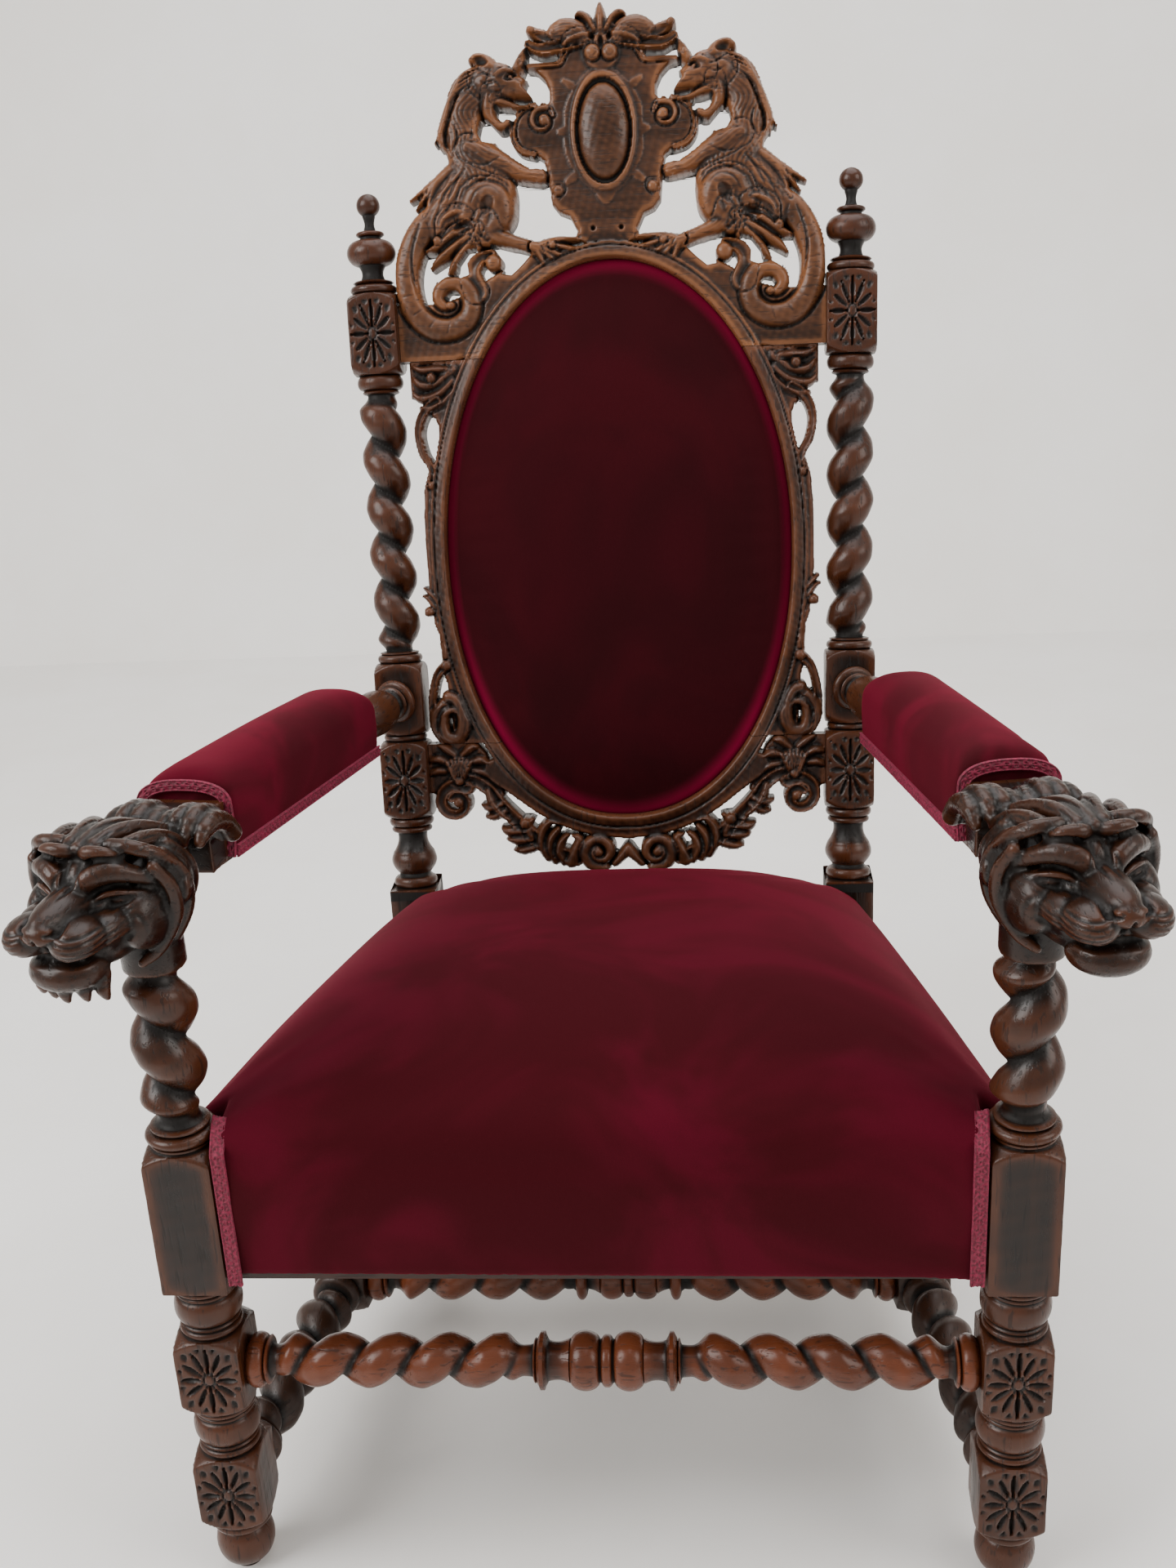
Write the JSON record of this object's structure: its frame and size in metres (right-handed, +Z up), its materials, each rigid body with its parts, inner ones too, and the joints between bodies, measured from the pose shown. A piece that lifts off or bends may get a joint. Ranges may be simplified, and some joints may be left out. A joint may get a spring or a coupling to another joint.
{
  "type": "carved throne",
  "caption": "High-backed carved oak throne with barley-twist posts, lion-headed arms, a pierced crest of beasts and a shield, and a velvet seat, oval back and arm pads.",
  "frame": {"origin": "floor point under the middle of the throne's box", "axes": "+Z up, the sitter faces -Y, +X to the viewer's right when the throne is seen from the front"},
  "size_m": [0.8675, 0.902, 1.345],
  "materials": {
    "oak": "dark waxed oak, worn reddish on the high spots",
    "velvet": "deep crimson velvet, matt facing and bright at grazing edges",
    "braid": "woven crimson braid",
    "dust_cloth": "black cotton dust cloth nailed under the seat"
  },
  "bodies": {
    "root": {"front_post_left": "oak", "front_post_right": "oak", "rear_post_left": "oak", "rear_post_right": "oak", "front_stretcher": "oak", "side_stretcher_left": "oak", "side_stretcher_right": "oak", "cross_stretcher": "oak", "seat_rail_front": "oak", "seat_rail_back": "oak", "seat_rail_left": "oak", "seat_rail_right": "oak", "crest_rail": "oak", "back_stile_left": "oak", "back_stile_right": "oak", "back_bottom_rail": "oak", "arm_left": "oak", "arm_right": "oak", "seat_pad": "velvet", "seat_base": "dust_cloth", "back_pad": "velvet", "arm_pad_left": "velvet", "arm_pad_right": "velvet"}
  },
  "joints": []
}
